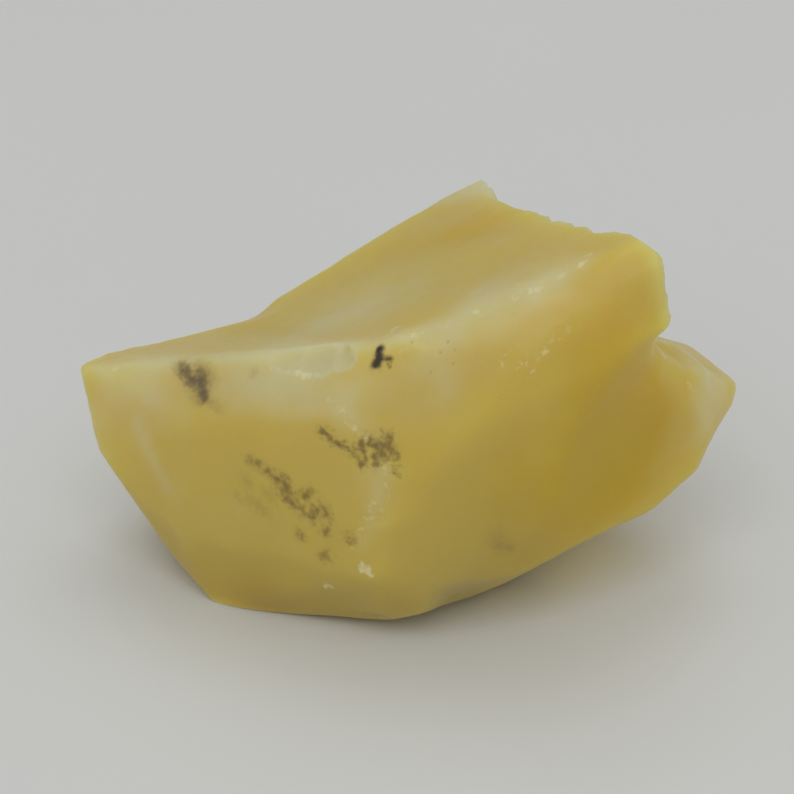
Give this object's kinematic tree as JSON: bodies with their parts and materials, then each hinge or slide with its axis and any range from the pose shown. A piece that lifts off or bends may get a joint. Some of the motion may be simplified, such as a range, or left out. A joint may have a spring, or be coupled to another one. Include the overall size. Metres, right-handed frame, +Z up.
{
  "type": "raw yellow opal",
  "caption": "Broken lump of waxy yellow common opal with dished fracture faces, a raised nose and a low shoulder, resting on a flat broken foot.",
  "frame": {"origin": "under the middle of the stone, on the surface it rests on", "axes": "+X along the long side, from the left tip towards the low shoulder; -Y out of the broad front face; +Z up"},
  "size_m": [0.0556, 0.0388, 0.037],
  "materials": {
    "opal": "waxy translucent broken mineral, satin sheen, with dark brown dendrite specks and pale veins"
  },
  "bodies": {
    "root": {"yellow_opal": "opal"}
  },
  "joints": []
}
